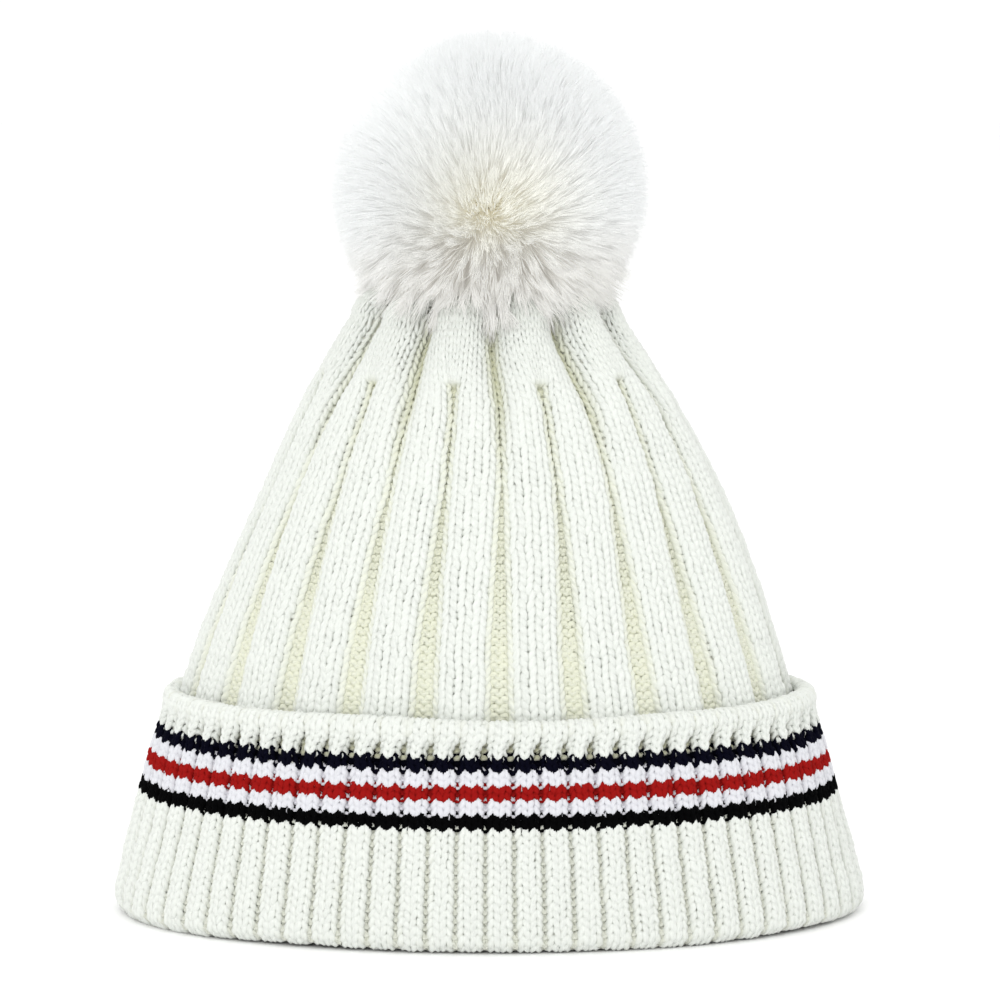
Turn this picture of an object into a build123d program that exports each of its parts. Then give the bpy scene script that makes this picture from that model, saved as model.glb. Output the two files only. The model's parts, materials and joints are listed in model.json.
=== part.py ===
"""Pom pom beanie: a rib-knit hat with a turned-up striped cuff and a snap-on faux fur pom pom.

Millimetres, +Z up. The origin is the middle of the hat's opening, on the plane that the cuff's fold
stands on. +X is the broad way of the oval head opening and +Y is the back, where the seam is.
The hat stands open, as it does on a head form. Soft pieces are plain solids of their true size.
"""
from build123d import *
from math import cos, radians, sin, sqrt
import os

# ---- Overall sizes ---------------------------------------------------------------------------
FOLD_WIDTH = 224.0         # across the cuff at its fold, the widest place of the hat
FOLD_DEPTH_RATIO = 0.64    # depth of the body's oval as a share of its width, at the fold
CROWN_DEPTH_RATIO = 0.86   # the same at the crown, which is rounder
CROWN_HEIGHT = 185.5       # top of the knitted crown, without its drawn-in tip

# ---- Knitted fabric --------------------------------------------------------------------------
FABRIC_THICKNESS = 4.0     # wide-rib body
CUFF_THICKNESS = 5.0       # outer layer of the turned-up cuff
LAYER_GAP = 0.2            # air between the two layers of the cuff
CUFF_HEIGHT = 67.0
FOLD_HEIGHT = 7.0          # rounded turn at the bottom of the cuff
FOLD_ROUND = 3.4
CUFF_EDGE_ROUND = 2.4
RIB_BAND_HEIGHT = 28.9     # plain cuff between the fold and the lowest stripe
STRIPE_HEIGHT = 4.1        # two courses of yarn
STRIPE_NAMES = ["stripe_black", "stripe_white_lower", "stripe_red", "stripe_white_upper", "stripe_navy"]

# Half widths of the body's outside, from the fold up to the crown
CUFF_TOP_HALF_WIDTH = 91.0
MID_BODY_HEIGHT = 127.0
MID_BODY_HALF_WIDTH = 68.0
UPPER_BODY_HEIGHT = 157.0
UPPER_BODY_HALF_WIDTH = 53.0
CROWN_HALF_WIDTH = 35.0
CROWN_ROUND = 8.0
SHAPING_HEIGHT = 25.5      # top part of the body, where half the ribs' gutters have ended

# ---- Back seam, on the inside of the fabric --------------------------------------------------
SEAM_WIDTH = 5.0
SEAM_THICKNESS = 1.6
SEAM_TOP_GAP = 22.0        # the seam ends this far below the crown

# ---- Drawn-in tip of the crown: a soft dome that lets the pom pom rock about its centre -------
TIP_RADIUS = 13.0
TIP_THICKNESS = 3.0
TIP_RISE = 3.5             # height of the dome above the crown
TIP_SKIRT = 1.0            # the dome reaches down to this height above its centre
TIP_HOLE_RADIUS = 4.5
ROCK_GAP = 0.3             # between pieces that slide over each other as the pom pom rocks
DRAWSTRING_RADIUS = 1.1
DRAWSTRING_GAP = 0.2       # between the cord and the dome's lining
DRAWSTRING_SPREAD = 67.0   # degrees from the dome's top, seen from its centre
KNOT_RADIUS = 2.1

# ---- Press stud --------------------------------------------------------------------------------
WASHER_THICKNESS = 1.5
WASHER_SPREAD = 38.2       # degrees from the dome's top to its rim, seen from the dome's centre
CAP_THICKNESS = 0.8
CAP_SPREAD = 37.6          # the same for the cap under it
POST_RADIUS = 1.5
SOCKET_RADIUS = 6.25
SOCKET_HEIGHT = 2.3        # above the dome's top
RECESS_RADIUS = 3.3
RECESS_DEPTH = 1.8
SPRING_OUTER_RADIUS = 3.1
SPRING_HOLE_RADIUS = 1.95
SPRING_HEIGHT = 0.8
SNAP_GAP = 0.2
STUD_RADIUS = 5.5
STUD_THICKNESS = 0.8
STUD_PIN_RADIUS = 1.7
STUD_PIN_LENGTH = 1.8
STUD_POST_RADIUS = 1.2
STUD_POST_CAP_RADIUS = 4.5

# ---- Pom pom -------------------------------------------------------------------------------------
POM_RADIUS = 46.5          # to the tips of the fur
POM_SHELL_RADIUS = 24.0    # fur backing fabric
POM_SHELL_THICKNESS = 1.2
POM_MOUTH_RADIUS = 6.8     # where the backing is gathered shut
POM_DISC_RADIUS = 10.5
POM_DISC_THICKNESS = 1.5
POM_FLAT_HEIGHT = 20.5     # from the pom pom's centre down to the flat that the disc sits on
FUR_UNDERSIDE = 19.5       # from the centre down to the fur's underside, which clears the crown
THREAD_RADIUS = 0.7
FILLING_GAP = 0.3

# ---- Places worked out from the sizes above --------------------------------------------------
tip_centre = CROWN_HEIGHT + TIP_RISE - TIP_RADIUS
tip_top = tip_centre + TIP_RADIUS
socket_top = tip_top + ROCK_GAP + SOCKET_HEIGHT
stud_base = socket_top + SNAP_GAP
disc_base = stud_base + STUD_THICKNESS
pom_flat = disc_base + POM_DISC_THICKNESS
pom_centre = pom_flat + POM_FLAT_HEIGHT
fold_liner_half_width = FOLD_WIDTH / 2 - CUFF_THICKNESS - LAYER_GAP
tube_stations = [
    (FOLD_HEIGHT, fold_liner_half_width),
    ((FOLD_HEIGHT + CUFF_HEIGHT) / 2, (fold_liner_half_width + CUFF_TOP_HALF_WIDTH) / 2),
    (CUFF_HEIGHT, CUFF_TOP_HALF_WIDTH),
    (MID_BODY_HEIGHT, MID_BODY_HALF_WIDTH),
    (UPPER_BODY_HEIGHT, UPPER_BODY_HALF_WIDTH),
    (CROWN_HEIGHT, CROWN_HALF_WIDTH),
]


def half_depth(height, half_width):
    """Half the oval's depth: the hat gets rounder towards the crown."""
    share = height / CROWN_HEIGHT
    return half_width * (FOLD_DEPTH_RATIO + (CROWN_DEPTH_RATIO - FOLD_DEPTH_RATIO) * share)


def oval_form(offset, drop, rounding):
    """The hat's body as a full solid, grown by offset, its top lowered by drop and rounded."""
    stations = tube_stations[:-1] + [(CROWN_HEIGHT - drop, CROWN_HALF_WIDTH)]
    with BuildPart() as form:
        for height, half_width in stations:
            with BuildSketch(Plane.XY.offset(height)):
                Ellipse(half_width + offset, half_depth(height, half_width) + offset)
        loft()
        fillet(form.edges().group_by(Axis.Z)[-1], rounding)
    return form.part


def ball(radius, centre):
    """A solid ball on the vertical axis."""
    with BuildPart() as round_form:
        with Locations((0, 0, centre)):
            Sphere(radius)
    return round_form.part


def save(piece, name):
    """Labels a finished piece and writes it."""
    piece.label = name
    export_step(piece, f"parts/{name}.step")


os.makedirs("parts", exist_ok=True)
body_form = oval_form(0, 0, CROWN_ROUND)
head_space = oval_form(-FABRIC_THICKNESS, FABRIC_THICKNESS, CROWN_ROUND - FABRIC_THICKNESS)
seam_space = oval_form(
    -FABRIC_THICKNESS - SEAM_THICKNESS, FABRIC_THICKNESS + SEAM_THICKNESS, CROWN_ROUND - FABRIC_THICKNESS
)
cuff_liner_form = oval_form(LAYER_GAP, 0, CROWN_ROUND)
tip_seat = ball(TIP_RADIUS + ROCK_GAP, tip_centre)
tip_space = ball(TIP_RADIUS - TIP_THICKNESS, tip_centre)
washer_reach = TIP_RADIUS - TIP_THICKNESS - ROCK_GAP
washer_space = ball(washer_reach, tip_centre)
cap_reach = washer_reach - WASHER_THICKNESS
cap_space = ball(cap_reach, tip_centre)
cap_inside = ball(cap_reach - CAP_THICKNESS, tip_centre)
shell_form = ball(POM_SHELL_RADIUS, pom_centre)
shell_space = ball(POM_SHELL_RADIUS - POM_SHELL_THICKNESS, pom_centre)

# ---- The knitted tube: body above the cuff, and the layer hidden inside the cuff ---------------
layer_join = CUFF_HEIGHT - 2 * FABRIC_THICKNESS

with BuildPart() as knit_body:
    add(body_form)
    add(head_space, mode=Mode.SUBTRACT)
    split(bisect_by=Plane.XY.offset(layer_join), keep=Keep.TOP)
    split(bisect_by=Plane.XY.offset(CROWN_HEIGHT - SHAPING_HEIGHT), keep=Keep.BOTTOM)
save(knit_body.part, "knit_body")

with BuildPart() as knit_crown:
    add(body_form)
    add(head_space, mode=Mode.SUBTRACT)
    add(tip_seat, mode=Mode.SUBTRACT)
    split(bisect_by=Plane.XY.offset(CROWN_HEIGHT - SHAPING_HEIGHT), keep=Keep.TOP)
save(knit_crown.part, "knit_crown")

with BuildPart() as cuff_inner_layer:
    add(body_form)
    add(head_space, mode=Mode.SUBTRACT)
    split(bisect_by=Plane.XY.offset(layer_join), keep=Keep.BOTTOM)
save(cuff_inner_layer.part, "cuff_inner_layer")

with BuildPart() as back_seam:
    with BuildSketch(Plane.XY.offset(FOLD_HEIGHT)):
        with Locations((0, FOLD_WIDTH / 4)):
            Rectangle(SEAM_WIDTH, FOLD_WIDTH / 2)
    extrude(amount=CROWN_HEIGHT - SEAM_TOP_GAP - FOLD_HEIGHT)
    add(head_space, mode=Mode.INTERSECT)
    add(seam_space, mode=Mode.SUBTRACT)
save(back_seam.part, "back_seam")

# ---- Cuff: the fold it stands on and the outer layer, course by course of coloured yarn --------
cuff_growth = LAYER_GAP + CUFF_THICKNESS
fold_half_width = FOLD_WIDTH / 2
fold_half_depth = half_depth(FOLD_HEIGHT, fold_half_width - cuff_growth) + cuff_growth
fold_wall = cuff_growth + FABRIC_THICKNESS

with BuildPart() as cuff_fold:
    with BuildSketch():
        Ellipse(fold_half_width, fold_half_depth)
        Ellipse(fold_half_width - fold_wall, fold_half_depth - fold_wall, mode=Mode.SUBTRACT)
    extrude(amount=FOLD_HEIGHT)
    fillet(cuff_fold.edges().group_by(Axis.Z)[0], FOLD_ROUND)
save(cuff_fold.part, "cuff_fold")


def cuff_half_width(height):
    """Half the cuff's outer width: it tapers evenly from the fold to its top edge."""
    top_half_width = CUFF_TOP_HALF_WIDTH + cuff_growth
    share = (height - FOLD_HEIGHT) / (CUFF_HEIGHT - FOLD_HEIGHT)
    return fold_half_width + (top_half_width - fold_half_width) * share


def cuff_band(base, top, edge_round=0.0):
    """One ring of the cuff's outer layer, between two heights."""
    with BuildPart() as band:
        for height in (base, top):
            liner_half_width = cuff_half_width(height) - cuff_growth
            with BuildSketch(Plane.XY.offset(height)):
                Ellipse(liner_half_width + cuff_growth, half_depth(height, liner_half_width) + cuff_growth)
        loft(ruled=True)
        if edge_round:
            fillet(band.edges().group_by(Axis.Z)[-1], edge_round)
        add(cuff_liner_form, mode=Mode.SUBTRACT)
    return band.part


band_base = FOLD_HEIGHT + RIB_BAND_HEIGHT
save(cuff_band(FOLD_HEIGHT, band_base), "cuff_rib_band")
for stripe_name in STRIPE_NAMES:
    save(cuff_band(band_base, band_base + STRIPE_HEIGHT), stripe_name)
    band_base += STRIPE_HEIGHT
save(cuff_band(band_base, CUFF_HEIGHT, CUFF_EDGE_ROUND), "cuff_edge_band")

# ---- Crown tip, drawstring and its knot ----------------------------------------------------------
with BuildPart() as crown_gather:
    with Locations((0, 0, tip_centre)):
        Sphere(TIP_RADIUS)
    add(tip_space, mode=Mode.SUBTRACT)
    split(bisect_by=Plane.XY.offset(tip_centre + TIP_SKIRT), keep=Keep.TOP)
    with BuildSketch(Plane.XY.offset(tip_centre)):
        Circle(TIP_HOLE_RADIUS)
    extrude(amount=2 * TIP_RADIUS, mode=Mode.SUBTRACT)
save(crown_gather.part, "crown_gather")

drawstring_reach = TIP_RADIUS - TIP_THICKNESS - DRAWSTRING_RADIUS - DRAWSTRING_GAP
drawstring_ring_radius = drawstring_reach * sin(radians(DRAWSTRING_SPREAD))
drawstring_base = tip_centre + drawstring_reach * cos(radians(DRAWSTRING_SPREAD))
with BuildPart() as drawstring:
    with Locations((0, 0, drawstring_base)):
        Torus(drawstring_ring_radius, DRAWSTRING_RADIUS)
save(drawstring.part, "drawstring")

knot_reach = drawstring_ring_radius - KNOT_RADIUS / 2
with BuildPart() as drawstring_knot:
    with Locations((0, knot_reach, drawstring_base - DRAWSTRING_RADIUS)):
        Sphere(KNOT_RADIUS)
    with Locations((0, 0, drawstring_base)):
        Torus(drawstring_ring_radius, DRAWSTRING_RADIUS, mode=Mode.SUBTRACT)
save(drawstring_knot.part, "drawstring_knot")

# ---- Press stud: washer, cap and socket on the crown --------------------------------------------
with BuildPart() as felt_washer:
    with BuildSketch(Plane.XY.offset(tip_centre)):
        Circle(washer_reach * sin(radians(WASHER_SPREAD)))
        Circle(POST_RADIUS, mode=Mode.SUBTRACT)
    extrude(amount=TIP_RADIUS)
    add(washer_space, mode=Mode.INTERSECT)
    add(cap_space, mode=Mode.SUBTRACT)
save(felt_washer.part, "felt_washer")

with BuildPart() as snap_cap:
    with BuildSketch(Plane.XY.offset(tip_centre)):
        Circle(cap_reach * sin(radians(CAP_SPREAD)))
    extrude(amount=TIP_RADIUS)
    add(cap_space, mode=Mode.INTERSECT)
    add(cap_inside, mode=Mode.SUBTRACT)
    post_base = tip_centre + cap_reach - CAP_THICKNESS / 2
    with BuildSketch(Plane.XY.offset(post_base)):
        Circle(POST_RADIUS)
    extrude(amount=tip_top + ROCK_GAP - post_base)
    add(tip_seat, mode=Mode.INTERSECT)
save(snap_cap.part, "snap_cap")

with BuildPart() as snap_socket:
    with BuildSketch(Plane.XY.offset(tip_centre + TIP_SKIRT)):
        Circle(SOCKET_RADIUS)
    extrude(amount=socket_top - tip_centre - TIP_SKIRT)
    add(tip_seat, mode=Mode.SUBTRACT)
    with BuildSketch(Plane.XY.offset(socket_top - RECESS_DEPTH)):
        Circle(RECESS_RADIUS)
    extrude(amount=RECESS_DEPTH, mode=Mode.SUBTRACT)
save(snap_socket.part, "snap_socket")

spring_base = socket_top - RECESS_DEPTH + SNAP_GAP
with BuildPart() as snap_spring:
    with BuildSketch(Plane.XY.offset(spring_base)):
        Circle(SPRING_OUTER_RADIUS)
        Circle(SPRING_HOLE_RADIUS, mode=Mode.SUBTRACT)
    extrude(amount=SPRING_HEIGHT)
save(snap_spring.part, "snap_spring")

# ---- Press stud: stud and its post on the pom pom -------------------------------------------------
with BuildPart() as snap_stud:
    with BuildSketch(Plane.XY.offset(stud_base)):
        Circle(STUD_RADIUS)
    extrude(amount=STUD_THICKNESS)
    with BuildSketch(Plane.XY.offset(stud_base - STUD_PIN_LENGTH + SNAP_GAP)):
        Circle(STUD_PIN_RADIUS)
    extrude(amount=STUD_PIN_LENGTH - SNAP_GAP)
    fillet(snap_stud.edges().group_by(Axis.Z)[0], STUD_PIN_RADIUS / 3)
save(snap_stud.part, "snap_stud")

with BuildPart() as pom_base_disc:
    with BuildSketch(Plane.XY.offset(disc_base)):
        Circle(POM_DISC_RADIUS)
        Circle(STUD_POST_RADIUS, mode=Mode.SUBTRACT)
    extrude(amount=POM_DISC_THICKNESS)
save(pom_base_disc.part, "pom_base_disc")

with BuildPart() as stud_post:
    with BuildSketch(Plane.XY.offset(disc_base)):
        Circle(STUD_POST_RADIUS)
    extrude(amount=POM_DISC_THICKNESS)
    with BuildSketch(Plane.XY.offset(pom_flat)):
        Circle(STUD_POST_CAP_RADIUS)
    extrude(amount=CAP_THICKNESS)
save(stud_post.part, "stud_post")

# ---- Pom pom: backing fabric, its gathering thread, the filling and the fur ------------------------
pom_floor = Plane.XY.offset(pom_flat)
with BuildPart() as pom_shell:
    add(shell_form)
    split(bisect_by=pom_floor, keep=Keep.TOP)
    add(shell_space, mode=Mode.SUBTRACT)
    mouth_floor_radius = sqrt(POM_SHELL_RADIUS**2 - POM_FLAT_HEIGHT**2)
    with BuildSketch(pom_floor):
        Circle(mouth_floor_radius)
        Circle(POM_MOUTH_RADIUS, mode=Mode.SUBTRACT)
    extrude(amount=POM_SHELL_THICKNESS)
save(pom_shell.part, "pom_shell")

thread_height = pom_flat + POM_SHELL_THICKNESS + THREAD_RADIUS
with BuildPart() as pom_gather_thread:
    with Locations((0, 0, thread_height)):
        Torus(POM_MOUTH_RADIUS + THREAD_RADIUS, THREAD_RADIUS)
save(pom_gather_thread.part, "pom_gather_thread")

with BuildPart() as pom_filling:
    with Locations((0, 0, pom_centre)):
        Sphere(POM_SHELL_RADIUS - POM_SHELL_THICKNESS - FILLING_GAP)
    split(bisect_by=Plane.XY.offset(thread_height + THREAD_RADIUS), keep=Keep.TOP)
save(pom_filling.part, "pom_filling")

with BuildPart() as fur_pile:
    with Locations((0, 0, pom_centre)):
        Sphere(POM_RADIUS)
    split(bisect_by=Plane.XY.offset(pom_centre - FUR_UNDERSIDE), keep=Keep.TOP)
    add(shell_form, mode=Mode.SUBTRACT)
save(fur_pile.part, "fur_pile")
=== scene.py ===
"""Looks of the pom pom beanie: rib knit made of real yarn loops, a striped cuff, a faux fur pom pom,
its press stud, and a plain studio. Lengths are in millimetres until a mesh is made."""

import json
import math

import bpy
import numpy as np
from mathutils.bvhtree import BVHTree
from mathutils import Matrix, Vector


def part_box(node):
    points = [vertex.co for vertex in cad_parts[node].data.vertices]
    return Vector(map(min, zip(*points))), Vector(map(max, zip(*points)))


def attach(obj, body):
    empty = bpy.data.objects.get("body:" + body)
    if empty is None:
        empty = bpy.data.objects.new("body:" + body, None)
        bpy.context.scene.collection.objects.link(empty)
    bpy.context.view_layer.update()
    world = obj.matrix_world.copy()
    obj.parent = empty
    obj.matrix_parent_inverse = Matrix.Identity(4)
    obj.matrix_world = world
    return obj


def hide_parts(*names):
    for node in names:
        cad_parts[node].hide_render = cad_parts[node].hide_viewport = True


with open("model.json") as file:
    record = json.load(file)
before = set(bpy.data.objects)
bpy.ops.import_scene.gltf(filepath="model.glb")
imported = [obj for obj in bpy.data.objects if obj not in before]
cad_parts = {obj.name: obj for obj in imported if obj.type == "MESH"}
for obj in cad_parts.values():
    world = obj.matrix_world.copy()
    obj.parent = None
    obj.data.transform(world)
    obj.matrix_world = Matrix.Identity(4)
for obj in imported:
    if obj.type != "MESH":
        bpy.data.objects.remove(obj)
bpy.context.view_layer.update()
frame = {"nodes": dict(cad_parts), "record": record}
MM = 0.001
TAU = 2 * math.pi


def node_box(name):
    """A CAD node's lowest and highest corners, in millimetres."""
    low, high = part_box(name)
    return np.array(low) / MM, np.array(high) / MM


# ---- Sizes that belong to the yarn, in millimetres ----
BODY_REPEATS = 22  # wide ribs round the body
BODY_KNIT = 4  # knit wales in a wide rib
BODY_PURL = 2  # purl wales in the gutter beside it
EVEN_GUTTER = BODY_KNIT + BODY_PURL / 2  # wale at the middle of the gutters that become pleats
ODD_GUTTER = 2 * BODY_KNIT + 1.5 * BODY_PURL  # the same for the gutters that end below the crown
GUTTER_DEPTH = 2.6
PLEAT_DEPTH = 7.4  # how much deeper the pleats are at the crown
BODY_TURN = -0.01  # share of the way round that puts a gutter just right of the front
BODY_COURSE = 2.5  # height of a course
BODY_YARN = 1.12  # yarn radius
CUFF_REPEATS = 68  # narrow ribs round the cuff
CUFF_KNIT = 2
CUFF_PURL = 1
CUFF_GUTTER = CUFF_KNIT + CUFF_PURL / 2  # wale at the middle of a gutter
RIB_COURSE = 2.35  # height of a course in the plain ribs
STRIPE_COURSE = 2.05  # height of a course in the stripes
CUFF_YARN = 1.08
HEAD_OPENING = 205.6  # width of the opening inside the fold
FOLD_POINTS = 15  # points of the cuff's profile round the fold
EDGE_POINTS = 10  # and over the top edge
DOME_KNIT = 4
DOME_PURL = 1
DOME_GUTTER = DOME_KNIT + DOME_PURL / 2
DOME_COURSE = 1.5
DOME_YARN = 0.42
LOOP_SAMPLES = 12  # points along one stitch
YARN_SIDES = 6
MAX_PIECE_FACES = 99_000  # quads in one piece
YARN_SHARE = 0.325  # a yarn's radius, as a share of its wale's width
LOOP_LEAN = 0.2  # how far the legs of a stitch lean, in wales
LOOP_DEPTH = 0.42  # how far a stitch's legs stand before its middle surface


# ---- Meshes ----
def make_mesh(name, points, faces, attributes=None, uvs=None):
    """An object from arrays: points in mm, quads or triangles, point attributes and uv maps per corner."""
    mesh = bpy.data.meshes.new(name)
    faces = np.asarray(faces, np.int32)
    corners = faces.shape[1]
    mesh.vertices.add(len(points))
    mesh.vertices.foreach_set("co", (np.asarray(points) * MM).astype(np.float32).ravel())
    mesh.loops.add(faces.size)
    mesh.loops.foreach_set("vertex_index", faces.ravel())
    mesh.polygons.add(len(faces))
    mesh.polygons.foreach_set("loop_start", np.arange(0, faces.size, corners, dtype=np.int32))
    mesh.update(calc_edges=True)
    mesh.polygons.foreach_set("use_smooth", np.ones(len(faces), bool))
    for key, values in (attributes or {}).items():
        layer = mesh.attributes.new(key, "FLOAT", "POINT")
        layer.data.foreach_set("value", np.asarray(values, np.float32).ravel())
    for key, values in (uvs or {}).items():
        layer = mesh.uv_layers.new(name=key)
        layer.data.foreach_set("uv", np.asarray(values, np.float32).ravel())
    obj = bpy.data.objects.new(name, mesh)
    bpy.context.scene.collection.objects.link(obj)
    return obj


def grid_faces(rows, columns):
    """Quads of a grid of points, row by row, whose last column joins the first."""
    row, column = np.meshgrid(np.arange(rows - 1), np.arange(columns), indexing="ij")
    right = (column + 1) % columns
    here, above = row * columns, (row + 1) * columns
    return np.stack([here + column, here + right, above + right, above + column], -1).reshape(-1, 4)


def unit(vectors):
    return vectors / np.maximum(np.linalg.norm(vectors, axis=-1, keepdims=True), 1e-9)


def about_z(radius, angle, height):
    return np.stack([radius * np.cos(angle), radius * np.sin(angle), height], -1)


def tube_points(centre, out, side, radius, sides):
    """Rings of points round the centres of a tube, whose cross directions are out and side."""
    theta = np.arange(sides) / sides * TAU
    ways = out[..., None, :] * np.cos(theta)[:, None] + side[..., None, :] * np.sin(theta)[:, None]
    return centre[..., None, :] + np.asarray(radius)[..., None, None] * ways


# ---- The fabric's surface ----
class Ellipses:
    """Turns a share of an ellipse's length into its angle, for a depth of half its width and more."""
    SHARES, RATIOS = 1440, 50

    def __init__(self):
        angle = np.linspace(0, TAU, self.SHARES + 1)
        share = np.linspace(0, 1, self.SHARES + 1)
        rows = []
        for ratio in np.linspace(0.5, 1.0, self.RATIOS + 1):
            speed = np.hypot(np.sin(angle), ratio * np.cos(angle))
            length = np.concatenate([[0], np.cumsum((speed[1:] + speed[:-1]) / 2)])
            rows.append(np.interp(share, length / length[-1], angle))
        self.table = np.array(rows)

    def angle(self, share, ratio):
        x = share % 1.0 * self.SHARES
        y = np.clip((ratio - 0.5) * 2 * self.RATIOS, 0, self.RATIOS - 0.001)
        x0, y0 = np.minimum(x.astype(int), self.SHARES - 1), y.astype(int)
        fx, fy = x - x0, y - y0
        low = self.table[y0, x0] * (1 - fx) + self.table[y0, x0 + 1] * fx
        high = self.table[y0 + 1, x0] * (1 - fx) + self.table[y0 + 1, x0 + 1] * fx
        return low * (1 - fy) + high * fy


ellipses = Ellipses()


def smooth(x):
    x = np.clip(x, 0, 1)
    return x * x * (3 - 2 * x)


def groove(q, middle, half_flat, reach, power, period):
    """A groove's profile across the wales: 1 on its floor, falling to 0 over reach wales on each side."""
    away = np.abs(np.mod(q - middle + period / 2, period) - period / 2) - half_flat
    return (1 - np.clip(away / reach, 0, 1)) ** power


class Fabric:
    """A knitted tube round the Z axis. Its profile is half widths, half depths and heights along the
    fabric; a place on it is a wale number and a length up the profile."""

    def __init__(self, half_width, half_depth, height, repeats, knit, purl, first_gutter):
        step = np.hypot(np.diff(half_width), np.diff(height))
        self.length = np.concatenate([[0], np.cumsum(step)])
        self.half_width, self.half_depth, self.height = half_width, half_depth, height
        self.repeats = repeats
        self.per_repeat = knit + purl
        self.wales = repeats * self.per_repeat
        self.first_gutter = first_gutter

    def at(self, v):
        """Half width, half depth and height at lengths v along the profile."""
        return [np.interp(v, self.length, row) for row in (self.half_width, self.half_depth, self.height)]

    def pitch(self, v):
        """Length of one repeat round the fabric."""
        a, b, _ = self.at(v)
        return math.pi * (3 * (a + b) - np.sqrt((3 * a + b) * (a + 3 * b))) / self.repeats

    def widths(self, v):
        """Relative widths of the wales in one period of the pattern, at lengths v: an array of v by wales."""
        raise NotImplementedError

    def spread(self, s, v):
        """Share of the way round, and depth under the ribs' crests, of places on the fabric."""
        s, v = np.broadcast_arrays(s, np.asarray(v, float))
        levels, level = np.unique(v, return_inverse=True)
        level = level.reshape(v.shape)
        rows = self.widths(levels)
        edges = np.concatenate([np.zeros((len(levels), 1)), np.cumsum(rows, axis=1)], axis=1)
        edges /= edges[:, -1:]
        period = rows.shape[1]
        turns = np.floor(s / period)
        q = s - turns * period
        index = np.minimum(q.astype(int), period - 1)
        share = edges[level, index] * (1 - (q - index)) + edges[level, index + 1] * (q - index)
        share = (turns + share) * period / self.wales + self.first_gutter
        return share, -self.relief(q, v) + self.swell(s, v)

    def relief(self, q, v):
        """Depth under the ribs' crests, at wale numbers q within one period."""
        raise NotImplementedError

    def wale_width(self, v):
        """Width in mm of every wale, all the way round, at each of the lengths v."""
        widths = self.widths(v)
        rows = widths * self.pitch(v)[:, None] / self.per_repeat
        rows *= widths.shape[1] / widths.sum(axis=1, keepdims=True)
        return np.tile(rows, (1, self.wales // rows.shape[1]))

    def swell(self, s, v):
        """Height in mm that the fabric stands proud of its profile."""
        return 0.0 * s

    def point(self, s, v):
        """The fabric's middle surface."""
        share, depth = self.spread(s, v)
        a, b, z = self.at(v)
        angle = ellipses.angle(share, np.clip(b / np.maximum(a, 0.1), 0.5, 1.0))
        flat = np.stack([a * np.cos(angle), b * np.sin(angle), z], -1)
        da, db, dz = [g * np.ones_like(s) for g in self.slope(v)]
        along = np.stack([da * np.cos(angle), db * np.sin(angle), dz], -1)
        around = np.stack([-a * np.sin(angle), b * np.cos(angle), 0 * z], -1)
        out = unit(np.cross(around, along))
        return flat + out * np.asarray(depth)[..., None]

    def slope(self, v):
        """Change of half width, half depth and height for each mm along the profile."""
        ahead = self.at(v + 0.3)
        behind = self.at(v - 0.3)
        return [(p - q) / 0.6 for p, q in zip(ahead, behind)]

    def normal(self, s, v):
        """The relief's outward normal."""
        du = self.point(s + 0.12, v) - self.point(s - 0.12, v)
        dv = self.point(s, v + 0.5) - self.point(s, v - 0.5)
        return unit(np.cross(du, dv))


class BodyFabric(Fabric):
    """Wide ribs: every second gutter ends on a ledge below the crown, the others deepen into pleats."""

    def __init__(self, *profile, ledge, crown):
        super().__init__(*profile, BODY_REPEATS, BODY_KNIT, BODY_PURL, first_gutter=BODY_TURN)
        self.ledge, self.crown = ledge, crown

    def ending(self, v):
        """0 where every gutter is open, 1 above the ledge, where every second one has closed."""
        return smooth((v - self.ledge_length()) / 2.5)

    def widths(self, v):
        pitch = self.pitch(v)
        gutter = np.clip((pitch - 15.2) / pitch, 0.08, 0.27) * pitch
        ended = smooth((v - self.ledge_length() + 9) / 26)
        even = gutter / 2
        plain = (2 * pitch - gutter) / 10
        rib = (pitch - gutter) / 4 * (1 - ended) + plain * ended
        odd = gutter / 2 * (1 - ended) + plain * ended
        inner, outer = rib * (1 + 0.12 * (1 - ended)), rib * (1 - 0.12 * (1 - ended))
        first = [outer, inner, inner, outer]
        return np.stack(first + [even, even] + first + [odd, odd], -1)

    def shade(self, q, v):
        """How much painted shade the gutters get: 0 on the ribs, 1 in the deepest folds."""
        _, _, z = self.at(v)
        up = smooth((z - self.ledge + 30) / 45)
        period = 2 * self.per_repeat
        even = groove(q, EVEN_GUTTER, BODY_PURL / 2, 0.7 + 0.9 * up, 1.5, period) * (0.5 + 0.5 * up)
        odd = groove(q, ODD_GUTTER, BODY_PURL / 2, 0.7, 1.5, period) * (0.5 + 0.3 * up)
        return np.maximum(even, odd * (1 - self.ending(v)))

    def relief(self, q, v):
        a, _, z = self.at(v)
        up = smooth((z - self.ledge + 30) / (self.crown - self.ledge + 30))
        up = up * (0.25 + 0.75 * smooth((a - 11) / 14))
        period = 2 * self.per_repeat
        reach = 2 + 3 * smooth((z - self.ledge + 12) / 24)
        even = groove(q, EVEN_GUTTER, BODY_PURL / 2, reach, 2.6, period) * (GUTTER_DEPTH + PLEAT_DEPTH * up)
        odd = groove(q, ODD_GUTTER, BODY_PURL / 2, 2.0, 3.0, period) * 2.9 * (1 - self.ending(v))
        return np.maximum(even, odd)

    def ledge_length(self):
        return np.interp(self.ledge, self.height[:self.top_index()], self.length[:self.top_index()])

    def top_index(self):
        return int(np.argmax(self.height)) + 1

    def swell(self, s, v):
        """Slow unevenness of soft fabric."""
        turn = s / self.wales * TAU
        return 0.5 * np.sin(3 * turn + v / 23.0 + 1.0) + 0.35 * np.sin(5 * turn - v / 17.0 + 4.0)


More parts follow.
